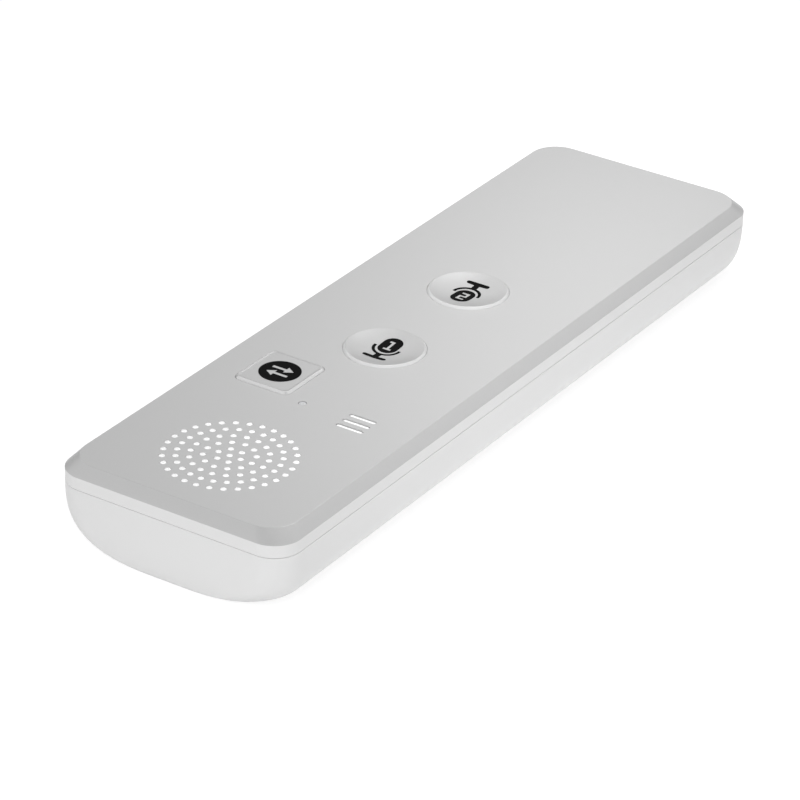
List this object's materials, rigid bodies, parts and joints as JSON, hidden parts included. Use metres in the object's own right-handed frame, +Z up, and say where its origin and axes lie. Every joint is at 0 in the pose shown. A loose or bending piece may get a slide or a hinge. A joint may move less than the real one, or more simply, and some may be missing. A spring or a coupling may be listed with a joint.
{
  "type": "handheld translator",
  "caption": "Slim bar-shaped handheld voice translator with a chamfered silver front panel, round talk keys, a nearly square mode key, a round speaker grille and a white housing.",
  "frame": {"origin": "under the middle of the housing, on the surface that it lies on", "axes": "+X to the side away from the volume keys, +Y along the length from the speaker end to the socket end, +Z up out of the front panel"},
  "size_m": [0.0416, 0.14, 0.0143],
  "materials": {
    "silver_paint": "silver paint on moulded ABS",
    "key_silver": "silver paint on moulded ABS",
    "white_shell": "white moulded ABS, satin",
    "legend_black": "black ink fill",
    "mesh_white": "woven dust mesh",
    "adhesive_black": "double-sided film",
    "foam_black": "closed-cell foam",
    "steel": "stamped steel",
    "ferrite": "sintered magnet",
    "cone_black": "thermoformed film",
    "wire_red": "PVC insulation",
    "wire_black": "PVC insulation",
    "board_green": "solder mask on glass epoxy",
    "switch_black": "moulded nylon",
    "plunger_white": "moulded nylon",
    "pouch": "laminated foil",
    "chip_black": "moulded epoxy",
    "copper_film": "copper on polyimide film",
    "light_pipe": "frosted clear polycarbonate",
    "led": "clear resin"
  },
  "bodies": {
    "housing": {"front_panel": "silver_paint", "panel_adhesive": "adhesive_black", "front_frame": "white_shell", "rear_cover": "white_shell", "speaker_mesh": "mesh_white", "microphone_mesh": "mesh_white", "speaker_basket": "steel", "speaker_magnet": "ferrite", "speaker_cone": "cone_black", "speaker_gasket": "foam_black", "speaker_leads": "wire_red", "main_board": "board_green", "board_screws": "steel", "front_switches": "switch_black", "volume_switches": "switch_black", "power_switch": "steel", "usb_socket": "steel", "usb_tongue": "switch_black", "microphone_capsule": "steel", "microphone_boot": "foam_black", "battery_cell": "pouch", "battery_tape": "foam_black", "battery_connector": "plunger_white", "battery_lead_positive": "wire_red", "battery_lead_negative": "wire_black", "processor_shield": "steel", "memory_chip": "chip_black", "antenna_film": "copper_film", "indicator_light_pipe": "light_pipe", "indicator_led": "led"},
    "talk_key_near": {"talk_key_near": "key_silver", "talk_key_near_legend": "legend_black", "talk_key_near_plunger": "plunger_white"},
    "talk_key_far": {"talk_key_far": "key_silver", "talk_key_far_legend": "legend_black", "talk_key_far_plunger": "plunger_white"},
    "mode_key": {"mode_key": "key_silver", "mode_key_legend": "legend_black", "mode_key_plunger": "plunger_white"},
    "volume_up_key": {"volume_up_key": "white_shell", "volume_up_plunger": "plunger_white"},
    "volume_down_key": {"volume_down_key": "white_shell", "volume_down_plunger": "plunger_white"},
    "power_slider": {"power_slider": "white_shell", "power_slider_lever": "switch_black"}
  },
  "joints": [
    {"name": "talk_key_near_press", "type": "slide", "parent": "housing", "child": "talk_key_near", "axis": [0, 0, -1], "range_m": [0, 0.00035], "stiffness_N_per_m": 1500, "springref_m": -0.0004},
    {"name": "talk_key_far_press", "type": "slide", "parent": "housing", "child": "talk_key_far", "axis": [0, 0, -1], "range_m": [0, 0.00035], "stiffness_N_per_m": 1500, "springref_m": -0.0004},
    {"name": "mode_key_press", "type": "slide", "parent": "housing", "child": "mode_key", "axis": [0, 0, -1], "range_m": [0, 0.00035], "stiffness_N_per_m": 1500, "springref_m": -0.0004},
    {"name": "volume_up_press", "type": "slide", "parent": "housing", "child": "volume_up_key", "axis": [1, 0, 0], "range_m": [0, 0.0003], "stiffness_N_per_m": 1500, "springref_m": -0.0004},
    {"name": "volume_down_press", "type": "slide", "parent": "housing", "child": "volume_down_key", "axis": [1, 0, 0], "range_m": [0, 0.0003], "stiffness_N_per_m": 1500, "springref_m": -0.0004},
    {"name": "power_slide", "type": "slide", "parent": "housing", "child": "power_slider", "axis": [0, 1, 0], "range_m": [0, 0.002]}
  ]
}
